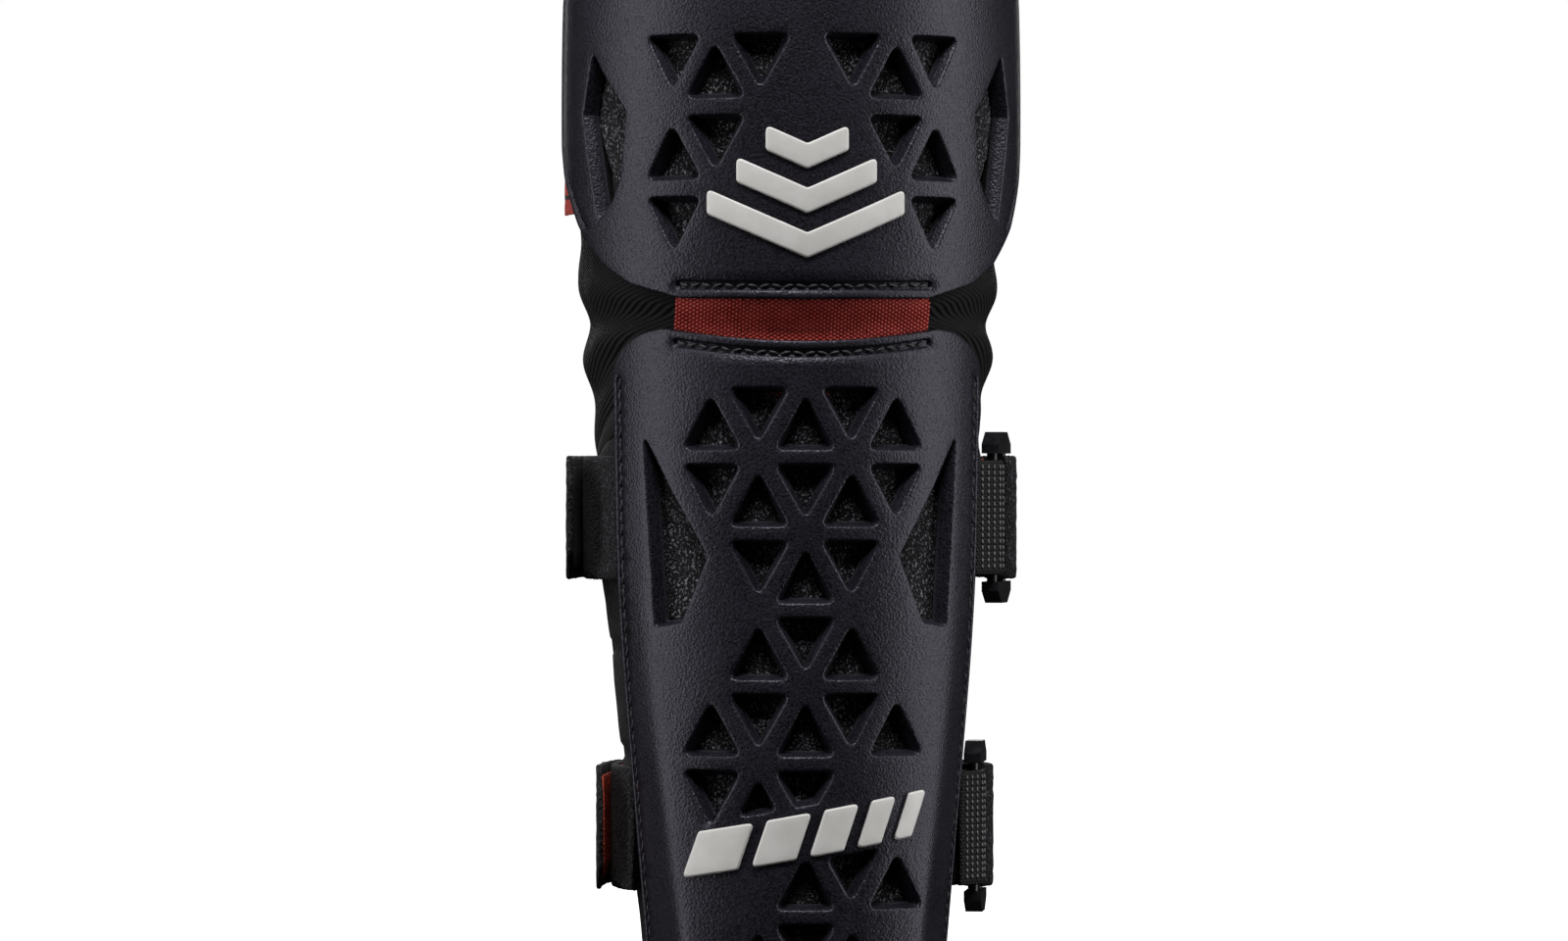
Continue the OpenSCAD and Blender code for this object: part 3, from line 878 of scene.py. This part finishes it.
def knee_cup():
    low, right, left = knee_seams()
    pockets = [(capsule_outline(low, 1.5), 1.2)]
    pockets += [(capsule_outline(path, 0.9), 0.7) for path in (right, left)]
    obj = plate("knee_cup", knee_point, knee_outline(), knee_vents() + knee_slots(), pockets)
    dress(obj, "shell", "knee", ["knee_shell"])
    thread = stitches("knee_cup_stitching", knee_point, [low], depth=0.9)
    dress(thread, "thread", "knee")
    side = stitches("knee_side_stitching", knee_point, [right, left], 2.2, 0.9, 0.35, 0.1, 0.45)
    dress(side, "thread", "knee")


def shin_plate():
    top, right, left = shin_seams()
    pockets = [(capsule_outline(top, 1.4), 1.2)]
    pockets += [(capsule_outline(path, 1.25), 1.0) for path in (right, left)]
    obj = plate("shin_plate", shin_point, shin_outline(), shin_vents() + shin_slots(), pockets)
    dress(obj, "shell", "shin", ["shin_shell"])
    thread = stitches("shin_plate_stitching", shin_point, [top, right, left], depth=0.8)
    dress(thread, "thread", "shin")


def raised(surface, height=1.2):
    """The same surface, lifted by height."""
    return lambda u, z, depth: surface(u, z, depth - height)


def badge(name, surface, to_u, corners, soften, body):
    """One raised piece of an emblem, from its corners as they are seen from in front."""
    outline = dense(rounded([(to_u(x, z), z) for x, z in corners], soften), 1.5)
    obj = plate(name, raised(surface), outline, [], (), 1.3, 1.3, 0, 2.2, 0.55)
    dress(obj, "badge", body, [f"{body}_badge"])


def knee_emblem():
    """Stacked chevrons that point down."""
    slope, thick = 0.45, 8
    for i, (half, tip) in enumerate([(31, 19), (22, 33), (13, 47)]):
        end = tip + slope * half
        corners = [(0, tip), (half, end), (half, end + thick)]
        corners += [(0, tip + thick), (-half, end + thick), (-half, end)]
        badge(f"knee_chevron_{i + 1}", knee_point, knee_u, corners, 1.6, "knee")


def shin_emblem():
    """Slanted bars that narrow towards one side."""
    lean = 5
    for i, (x0, width) in enumerate([(-38, 17), (-17, 14), (1, 11), (16, 8), (28, 6)]):
        x1 = x0 + width
        corners = [(x0, bar_base + bar_rise * x0), (x1, bar_base + bar_rise * x1)]
        corners += [(x + lean, bar_base + bar_tall + bar_rise * x) for x in (x1, x0)]
        badge(f"shin_bar_{i + 1}", shin_point, shin_u, corners, 1.4, "shin")


# ---- foam pads behind the shells ----


def pad_sheet(name, surface, outline, depth, thick, grid=3.0):
    """A crowned pad that follows a shell from inside, dimpled where it shows through the vents."""

    def dimpled(u, z, d):
        broad = noise.noise(Vector((u * 0.16, z * 0.16, 0)))
        fine = noise.noise(Vector((u, z, 5)) * 0.45)
        return surface(u, z, depth + d - (0.5 * broad + 0.25 * fine))

    return plate(name, dimpled, outline, [], (), thick, thick, 0, grid, 2.0)


def pads():
    half = [(knee_u(x, z), z) for x, z in [(0, 13), (38, 13.5), (52, 20), (60, 34), (66, 50)]]
    half += [(88, 60), (90, 96), (78, 112), (40, 120), (0, 121)]
    knee = pad_sheet("knee_pad_foam", knee_point, dense(rounded(mirrored(half), 10), 3), 5.6, 3.6)
    dress(knee, "pad", "knee", ["knee_pad"])
    half = [(0, -15), (46, -14), (53, -26)]
    half += [(shin_rim(z) - 7, z) for z in range(-40, -250, -15)]
    half += [(shin_rim(-258) - 16, -259), (0, -260)]
    shin = pad_sheet("shin_pad_foam", shin_point, dense(rounded(mirrored(half), 8), 3), 5.9, 3.2)
    dress(shin, "pad", "shin", ["shin_pad"])


# ---- leg, liners and bindings ----


def leg_at(z):
    """Half-width, half-depth and centre of the leg space at height z."""
    for a, b in zip(leg, leg[1:]):
        if z <= b[0] or b is leg[-1]:
            t = clamp((z - a[0]) / (b[0] - a[0]))
            return [lerp(a[i], b[i], t) for i in (1, 2, 3)]


def leg_point(angle, z, out):
    half_x, half_y, centre = leg_at(z)
    return ((half_x + out) * math.sin(angle), centre - (half_y + out) * math.cos(angle), z)


def angle_at(y, z):
    """Angle round the leg, from the front, where its surface reaches y."""
    _, half_y, centre = leg_at(z)
    return math.acos(clamp((centre - y) / half_y, -1, 1))


def thigh_low(y):
    """Height of the knee liner's lower edge: it rises to the back, and steeply behind the leg's side."""
    steep_y = 4
    rise = (fold_y + min(y, steep_y)) * relief
    return max(18, rise + max(0, y - steep_y) * math.tan(math.radians(60)) + 1)


def calf_high(y):
    """Height of the shin liner's upper edge, which falls to the back."""
    return min(-13, -(fold_y + y) * relief - 1)


def knee_panel(s, t):
    """Angle and height of the knee liner at shares s round the leg and t up it."""
    angle = (2 * s - 1) * math.radians(114)
    z = 120
    for _ in range(4):
        z = lerp(thigh_low(leg_point(angle, z, 5)[1]), 195, t)
        angle = (2 * s - 1) * angle_at(31, z)
    return angle, z


def shin_panel(s, t):
    """Angle and height of the shin liner."""
    angle, z = 0, -150
    for _ in range(5):
        rear = 18 + z * math.tan(math.radians(4)) - 3
        angle = (2 * s - 1) * angle_at(rear, z)
        z = lerp(-271, calf_high(leg_point(angle, z, 3)[1]), t)
    return angle, z


def cuff(name, panel, thick, across, up, swell):
    """A padded panel bent round the leg, thick in the middle and thin at its edges."""
    about_wide, edge_run = 250, 7
    shares = [i / (across - 1) for i in range(across)]
    columns = [(s, panel(s, 1)[1] - panel(s, 0)[1]) for s in shares]
    points = []
    for side in (1, -1):
        for j in range(up):
            t = j / (up - 1)
            for s, tall in columns:
                angle, z = panel(s, t)
                near = clamp(min(min(s, 1 - s) * about_wide, min(t, 1 - t) * tall) / edge_run)
                full = thick * math.sqrt(max(0.0, 1 - (1 - near) ** 2))
                out = thick / 2 + side * max(full, 0.6) / 2
                if side > 0:
                    out += swell(angle, z) * near
                points.append(leg_point(angle, z, out))
    return mesh_object(name, points, layer_faces(across, up, turned=True))


def inflate(obj, voxel_mm, pressure, cap_mm, frames=20):
    """Swells a closed soft piece with a short cloth simulation that moves no point further than cap_mm."""
    bpy.context.view_layer.objects.active = obj
    for other in bpy.context.selected_objects:
        other.select_set(False)
    obj.select_set(True)
    obj.data.remesh_voxel_size = voxel_mm * MM
    bpy.ops.object.voxel_remesh()
    rest = [v.co.copy() for v in obj.data.vertices]
    cloth = obj.modifiers.new("puff", "CLOTH")
    cloth.settings.quality = 4
    cloth.settings.mass = 0.2
    cloth.settings.tension_stiffness = 25
    cloth.settings.compression_stiffness = 25
    cloth.settings.use_pressure = True
    cloth.settings.uniform_pressure_force = pressure
    cloth.settings.effector_weights.gravity = 0
    cloth.point_cache.frame_end = frames
    scene = bpy.context.scene
    for step in range(1, frames + 1):
        scene.frame_set(step)
    posed = obj.evaluated_get(bpy.context.evaluated_depsgraph_get())
    moved = [v.co.copy() for v in posed.data.vertices]
    obj.modifiers.remove(cloth)
    scene.frame_set(1)
    for vertex, start, end in zip(obj.data.vertices, rest, moved):
        shift = end - start
        if shift.length > cap_mm * MM:
            shift = shift.normalized() * (cap_mm * MM)
        vertex.co = start + shift
    return obj


def refine(obj):
    """Applies one level of subdivision."""
    bpy.context.view_layer.objects.active = obj
    smooth = obj.modifiers.new("smooth", "SUBSURF")
    smooth.levels = 1
    smooth.render_levels = 1
    bpy.ops.object.modifier_apply(modifier=smooth.name)
    obj.data.shade_smooth()
    return obj


def quilt(obj, channel):
    """Presses sewn channels into a padded piece, as deep as channel(angle, z) says, in millimetres."""
    for vertex in obj.data.vertices:
        x, y, z = vertex.co / MM
        half_x, half_y, centre = leg_at(z)
        angle = math.atan2(x / half_x, (centre - y) / half_y)
        middle = Vector(leg_point(angle, z, 2.5))
        toward = middle - Vector((x, y, z))
        depth = channel(angle, z)
        if depth and toward.length > 0.3:
            vertex.co += toward.normalized() * (min(depth, toward.length * 0.8) * MM)
    return obj


def groove(distance, width, depth):
    return depth * math.exp(-((distance / width) ** 2))


def channels(start, pitch, beside, radius, width, depth):
    """Sewn lines of a liner: level ones behind, pitch apart, and one upright on each side of the front."""

    def depth_at(angle, z):
        level = (z - start) % pitch - pitch / 2
        upright = (abs(angle) - math.radians(beside)) * radius
        return max(groove(level, width, depth), groove(upright, width, depth))

    return depth_at


def side_swell(angle, z):
    """The knit stands out a little beside the knee, where nothing holds it down."""
    beside = ease((abs(angle) - math.radians(62)) / 0.35)
    low = ease((95 - z) / 50)
    return beside * (1.6 * low + 0.8 * noise.noise(Vector((angle * 5, z * 0.06, 1))))


def calf_swell(angle, z):
    """The same beside the shin, most of all at the upper edge."""
    beside = ease((abs(angle) - math.radians(55)) / 0.3)
    high = math.exp(-(((z + 25) / 14) ** 2))
    return beside * (2.6 * high + 0.5 * noise.noise(Vector((angle * 5, z * 0.08, 4))))


def liners():
    knee = cuff("knee_liner_knit", knee_panel, 6.4, 84, 56, side_swell)
    shin = cuff("shin_liner_knit", shin_panel, 4.6, 84, 72, calf_swell)
    knee_sewn = channels(78, 38, 58, 66, 1.7, 2.0)
    shin_sewn = channels(-20, 34, 50, 52, 1.6, 1.7)
    for obj, cap, channel in ((knee, 1.6, knee_sewn), (shin, 1.4, shin_sewn)):
        inflate(obj, 4, 4, cap)
        refine(obj)
        quilt(obj, channel)
    dress(knee, "knit", "knee", ["knee_liner"])
    dress(shin, "knit", "shin", ["shin_liner"])


def tube(name, path, normals, section):
    """A closed section swept along a path. Section points are (outward, across the path)."""
    points, uvs = [], []
    run = 0.0
    for i, p in enumerate(path):
        here = Vector(p)
        ahead = (Vector(path[min(i + 1, len(path) - 1)]) - Vector(path[max(i - 1, 0)])).normalized()
        out = Vector(normals[i]).normalized()
        cross = ahead.cross(out).normalized()
        if i:
            run += (here - Vector(path[i - 1])).length
        around = 0.0
        for k, (a, b) in enumerate(section):
            points.append(here + out * a + cross * b)
            if k:
                around += math.dist(section[k], section[k - 1])
            uvs.append((run, around))
    return mesh_object(name, points, ring_faces(0, len(path), len(section)), uvs)


def tape_section(thick, reach):
    """Section of a folded tape: a flat oval that covers a panel's edge."""
    half = thick / 2
    out = []
    for k in range(12):
        a = 2 * math.pi * k / 12
        c, s = math.cos(a), math.sin(a)
        out.append((half * math.copysign(abs(c) ** 0.7, c), reach / 2 * math.copysign(abs(s) ** 0.6, s)))
    return out


def edge_route(panel, stops, out, step=90):
    """Points and outward normals along a liner's border, through the (s, t) stops."""
    path, normals = [], []
    for (s0, t0), (s1, t1) in zip(stops, stops[1:]):
        for k in range(step):
            angle, z = panel(lerp(s0, s1, k / step), lerp(t0, t1, k / step))
            path.append(leg_point(angle, z, out))
            normals.append((math.sin(angle), -math.cos(angle), 0))
    return path, normals


def bindings():
    """Edge tape round both liners, along stops that are shares (across, up) of each panel."""
    routes = [
        ("knee", knee_panel, [(0.5, 0), (0, 0), (0, 1), (1, 1), (1, 0), (0.5, 0)], 3.2, 6.6, 9),
        ("shin", shin_panel, [(0.5, 1), (0, 1), (0, 0), (1, 0), (1, 1), (0.5, 1)], 2.3, 5.0, 8),
    ]
    for part, panel, stops, out, thick, reach in routes:
        path, normals = edge_route(panel, stops, out)
        obj = tube(f"{part}_edge_tape", path, normals, tape_section(thick, reach))
        dress(obj, "tape", part, [f"{part}_binding"])


# ---- link: red webbing and the two stretch gussets ----


def link():
    """Webbing from under the cup to under the plate, pressed back behind the plate's upper vents."""
    half, up, down = 40.5, 14, 26
    across, tall = 110, 40
    behind_cup = knee_r - knee_bulge - shell_t - 0.4
    behind_plate = shin_r - shell_t - 0.5
    points, uvs = [], []
    for side in (0, 1):
        for j in range(tall + 1):
            z = lerp(-down, up, j / tall)
            r = lerp(behind_plate, behind_cup, ease((z + 4) / 10))
            r -= 3.0 * ease((-13 - z) / 6)
            for i in range(across + 1):
                x = lerp(-half, half, i / across)
                thick = 1.3 * math.sqrt(max(0.0, 1 - (abs(x) / half) ** 24))
                ridge = 0.12 * math.sin(x * math.pi / 1.1 + (j % 2) * math.pi)
                reach = r + ridge if side == 0 else r - thick
                points.append((x, -math.sqrt(reach * reach - x * x), z))
                uvs.append((x, z))
    obj = mesh_object("link_webbing_red", points, layer_faces(across + 1, tall + 1), uvs)
    dress(obj, "red", None, ["link_webbing"])
    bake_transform(obj)


def gusset(side):
    """Stretch panel beside the knee: it bellies out and is gathered into folds towards its lower seam."""
    along, tall = 60, 64
    front, back = 8, 88
    points, uvs = [], []
    for layer in (0, 1):
        for j in range(tall + 1):
            t = j / tall
            for i in range(along + 1):
                reach = lerp(front, back, i / along)
                y = reach - fold_y
                limit = reach * relief
                z = lerp(-limit + 0.5, limit + 2, t)
                half_x, half_y, centre = leg_at(z)
                across = math.sqrt(max(0.05, 1 - ((y - centre) / (half_y + 3)) ** 2)) * (half_x + 3)
                belly = 5.0 * math.sin(math.pi * t) ** 0.8 * ease(reach / 45)
                folds = 1.5 * math.sin(t * 7 * math.pi + 0.5 * math.sin(reach * 0.12))
                folds *= math.sin(math.pi * clamp(t * 1.15)) * ease(reach / 20)
                pull = 0.5 * noise.noise(Vector((reach * 0.09, t * 3, 2 + side)))
                out = across + belly + folds + pull - layer * 1.3
                points.append((side * max(out, 20), y, z))
                uvs.append((reach, t * 2 * limit))
    word = "right" if side > 0 else "left"
    obj = mesh_object(f"{word}_gusset_rib", points, layer_faces(along + 1, tall + 1), uvs)
    dress(obj, "rib", None, [f"{word}_gusset"])
    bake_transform(obj)


# ---- straps ----


def around(centre, radius, degrees):
    a = math.radians(degrees)
    return Vector((radius * math.sin(a), centre - radius * math.cos(a)))


def arc(centre, r0, r1, a0, a1, step=1.6):
    """Points along an arc, about step millimetres apart."""
    count = max(2, int(abs(math.radians(a1 - a0)) * r0 / step))
    return [around(centre, lerp(r0, r1, k / count), lerp(a0, a1, k / count)) for k in range(count + 1)]


def band(name, path, z, width, thick, rows=20, tip=0, pile=0.0):
    """A strap of that width and thickness along a level path, its far end cut back at the corners by tip."""
    points, uvs = [], []
    lengths = [0.0]
    for a, b in zip(path, path[1:]):
        lengths.append(lengths[-1] + (b - a).length)
    deep = thick / 2
    for i, (p, run) in enumerate(zip(path, lengths)):
        ahead = (path[min(i + 1, len(path) - 1)] - path[max(i - 1, 0)]).normalized()
        out = Vector((ahead.y, -ahead.x))
        half = width / 2 - max(0.0, tip - (lengths[-1] - run))
        section = [(lerp(-half + deep, half - deep, k / rows), deep) for k in range(rows + 1)]
        section += [(half - deep * 0.3, deep * 0.75), (half, 0), (half - deep * 0.3, -deep * 0.75)]
        section += [(-w, -t) for w, t in section]
        for w, t in section:
            fuzz = noise.noise(Vector((run * 0.9, w * 0.9, t)))
            fuzz += 0.5 * noise.noise(Vector((run, w, t)) * 2.1)
            fuzz *= pile if t >= 0 else 0
            q = p + out * (t + fuzz)
            points.append((q.x, q.y, z + w + fuzz * (abs(w) > half - 1)))
            uvs.append((w, run))
    return mesh_object(name, points, ring_faces(0, len(path), len(section)), uvs)


def half_turn(middle, radius, degrees, toward, turns):
    """Points round a middle that stands at that angle, from its inner side to its outer side."""
    a = math.radians(degrees)
    out = Vector((math.sin(a), -math.cos(a)))
    side = Vector((math.cos(a), math.sin(a))) * toward
    return [middle + (side * math.sin(t) - out * math.cos(t)) * radius for t in turns]


def cloth(piece, path, wide, held, *under):
    """Takes a strip with its path, width, how it is held and the pieces under it, and does nothing with
    them.
    """


def strap_band(key, body):
    """The strap from its wing round the back to the loop and folded back over itself, and its red lining."""
    z, centre, inner_r, start, bar, _ = straps[key]
    layer = inner_r + strap_t / 2
    ring = layer + fold_r
    rear = bar + math.degrees(bar_gap / ring)
    path = arc(centre, layer - 0.4, layer, start, start - 24)
    path += arc(centre, layer, layer, start - 26, rear - 360)
    path += half_turn(around(centre, ring, rear), fold_r, rear, -1, [k * math.pi / 12 for k in range(1, 12)])
    path += arc(centre, ring + fold_r, layer + layer_step, rear - 360, rear - 330)
    path += arc(centre, layer + layer_step, layer + layer_step, rear - 328, tail_hinge - 1.7)
    obj = band(f"{key}_strap_pile", path, z, strap_w, strap_t, 20, 0, 0.35)
    dress(obj, "pile", body, [f"{key}_strap"])
    cloth(obj, path, strap_w, "folded", f"{body}_liner_knit", f"{key}_loop")
    face_r = inner_r - 0.4
    path = arc(centre, face_r, face_r, start - 26, rear - 351)
    obj = band(f"{key}_strap_lining_red", path, z, strap_w - 2, 0.6, 6)
    dress(obj, "lining", body, [f"{key}_lining"])
    cloth(obj, path, strap_w - 2, "stretched", f"{key}_strap_pile")


def strap_tab(key, body):
    """Webbing tab folded round the loop's front bar, with five rows of stitches."""
    z, centre, inner_r, _, bar, _ = straps[key]
    ring = inner_r + strap_t / 2 + fold_r
    outer_r = inner_r + 3.6
    path = arc(centre, inner_r + 0.8, ring - tab_r, bar - 12, bar - 2)
    path += half_turn(around(centre, ring, bar), tab_r, bar, 1, [k * math.pi / 10 for k in range(11)])
    path += arc(centre, ring + tab_r, outer_r, bar - 2, bar - 10)
    obj = band(f"{key}_tab_webbing", path, z, tab_w, 1.6, 18)
    dress(obj, "tab", body, [f"{key}_loop_tab"])
    cloth(obj, path, tab_w, "folded", f"{key}_loop")
    seams = []
    for k in range(5):
        behind_bar = 0.5 + 1.9 * k
        seam_r = lerp(ring + tab_r, outer_r, clamp((behind_bar - 2) / 8))
        seams.append(around(centre, seam_r, bar - behind_bar))
    tab_stitches(key, z, seams, centre, body)


def strap_tail(key):
    """The strap's free end, which stands off towards its tip, and the hook field on its inner face."""
    z, centre, inner_r, _, _, flare = straps[key]
    tail_r = inner_r + strap_t / 2 + layer_step
    path = []
    for a in steps_between(tail_hinge, tail_tip, 1.4):
        path.append(around(centre, tail_r + flare * clamp((a - tail_hinge - 22) / 28) ** 1.6, a))
    obj = band(f"{key}_tail_pile", path, z, strap_w, strap_t * 0.8, 20, 8, 0.3)
    dress(obj, "pile", f"{key}_tail", [f"{key}_tail"])
    cloth(obj, path, strap_w, "laid", f"{key}_strap_pile")
    under_tail = strap_t * 0.4 + 0.35
    inner = [p + (Vector((0, centre)) - p).normalized() * under_tail for p in path[3:-2]]
    obj = band(f"{key}_hook_field", inner, z, strap_w - 7, 0.6, 6, 6)
    dress(obj, "lining" if key == "lower" else "hook", f"{key}_tail", [f"{key}_hook"])
    cloth(obj, inner, strap_w - 7, "laid", f"{key}_tail_pile")


def strap_loop(key):
    """The CAD loop, with its own material and softened edges."""
    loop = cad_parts[f"{key}_loop"]
    loop.data.materials.clear()
    loop.data.materials.append(MATERIALS["loop"])
    soft = loop.modifiers.new("soft_edges", "BEVEL")
    soft.width = 0.55 * MM
    soft.segments = 2
    soft.limit_method = "ANGLE"
    soft.angle_limit = math.radians(35)


def tab_stitches(key, z, seams, centre, body):
    """Upright rows of pale stitches on a loop tab."""
    points, faces = [], []
    for spot in seams:
        for j in range(17):
            w = -16.5 + 2.0 * j
            out = (spot - Vector((0, centre))).normalized()
            side = Vector((-out.y, out.x))
            start = len(points)
            for t in range(4):
                swell = 0.42 * math.sin(math.pi * (0.14 + 0.72 * t / 3))
                for q in range(6):
                    turn = math.pi * q / 3
                    p = spot + side * (swell * math.cos(turn)) + out * (1.05 + 0.8 * swell * math.sin(turn))
                    points.append((p.x, p.y, z + w + 1.55 * t / 3))
            faces += ring_faces(start, 4, 6)
    obj = mesh_object(f"{key}_tab_stitches", points, faces)
    dress(obj, "pale_thread", body)


def label():
    """Small folded tag sewn beside the knee."""
    path = arc(8, 72.5, 72.1, -87, -77, 0.7)
    obj = band("side_tag", path, tag_z, tag_high.z - tag_low.z, 0.9, 10, 0, 0.12)
    dress(obj, "label", "knee", ["side_label"])


# ---- room, light and camera ----


def studio():
    """Glowing floor disc, white surround, and soft lights at both sides, above the front and behind."""
    floor_mat = bpy.data.materials.new("floor_white")
    floor_mat.use_nodes = True
    floor_nodes, floor_links = floor_mat.node_tree.nodes, floor_mat.node_tree.links
    white = floor_nodes["Principled BSDF"]
    white.inputs["Base Color"].default_value = (0.9, 0.9, 0.9, 1)
    white.inputs["Emission Color"].default_value = (1, 1, 1, 1)
    coords = floor_nodes.new("ShaderNodeTexCoord")
    reach = floor_nodes.new("ShaderNodeVectorMath")
    reach.operation = "LENGTH"
    glow = floor_nodes.new("ShaderNodeMapRange")
    glow.interpolation_type = "SMOOTHSTEP"
    for socket, value in (("From Min", 0.2), ("From Max", 0.85), ("To Min", 0.25), ("To Max", 1.1)):
        glow.inputs[socket].default_value = value
    floor_links.new(coords.outputs["Object"], reach.inputs[0])
    floor_links.new(reach.outputs["Value"], glow.inputs["Value"])
    floor_links.new(glow.outputs["Result"], white.inputs["Emission Strength"])
    floor_z = cad_low.z - 0.002
    bpy.ops.mesh.primitive_circle_add(vertices=96, radius=9, fill_type="NGON", location=(0, 0, floor_z))
    floor = bpy.context.object
    floor.name = "floor"
    floor.data.materials.append(floor_mat)
    floor.visible_glossy = False
    floor.visible_diffuse = False
    # the camera sees a white surround, which gives the guard itself only a weak light
    world = bpy.data.worlds.new("surround")
    bpy.context.scene.world = world
    world.use_nodes = True
    nodes, links = world.node_tree.nodes, world.node_tree.links
    back = nodes["Background"]
    back.inputs["Color"].default_value = (1, 1, 1, 1)
    back.inputs["Strength"].default_value = 0.02
    seen = nodes.new("ShaderNodeBackground")
    seen.inputs["Color"].default_value = (1, 1, 1, 1)
    seen.inputs["Strength"].default_value = 1.0
    either = nodes.new("ShaderNodeMixShader")
    path = nodes.new("ShaderNodeLightPath")
    links.new(path.outputs["Is Camera Ray"], either.inputs[0])
    links.new(back.outputs[0], either.inputs[1])
    links.new(seen.outputs[0], either.inputs[2])
    links.new(either.outputs[0], nodes["World Output"].inputs[0])
    soft_light("left_softbox", (-0.85, -0.16, 0.05), (0, -0.03, -0.06), 0.4, 1.3, 5.2)
    soft_light("right_softbox", (0.85, -0.20, 0.05), (0, -0.03, -0.06), 0.4, 1.3, 5.6)
    soft_light("front_fill", (-0.1, -1.0, 1.55), (0, 0, -0.05), 0.8, 0.5, 28)
    soft_light("rear_softbox", (0.0, 1.3, 0.5), (0, 0, -0.05), 1.2, 0.9, 7)


def soft_light(name, place, target, width, height, watts):
    data = bpy.data.lights.new(name, "AREA")
    data.shape = "RECTANGLE"
    data.size = width
    data.size_y = height
    data.energy = watts
    obj = bpy.data.objects.new(name, data)
    obj.location = place
    obj.rotation_euler = (Vector(target) - Vector(place)).to_track_quat("-Z", "Y").to_euler()
    bpy.context.collection.objects.link(obj)


def camera():
    """Long level lens, a little to the viewer's left of straight ahead."""
    view_w = 0.512
    lens, sensor = 140, 36
    azimuth = math.radians(-4.5)
    aim = Vector((-0.0014, 0, -0.0478))
    distance = view_w * lens / sensor
    data = bpy.data.cameras.new("camera")
    data.lens = lens
    data.sensor_width = sensor
    obj = bpy.data.objects.new("camera", data)
    obj.location = aim + Vector((math.sin(azimuth), -math.cos(azimuth), 0)) * distance
    obj.rotation_euler = (aim - obj.location).to_track_quat("-Z", "Y").to_euler()
    bpy.context.collection.objects.link(obj)
    bpy.context.scene.camera = obj


camera()
studio()
bpy.context.scene.view_settings.view_transform = "Standard"
knee_cup()
shin_plate()
knee_emblem()
shin_emblem()
pads()
liners()
bindings()
link()
for side in (-1, 1):
    gusset(side)
for key, body in (("thigh", "knee"), ("upper", "shin"), ("lower", "shin")):
    strap_band(key, body)
    strap_tab(key, body)
    strap_tail(key)
    strap_loop(key)
label()
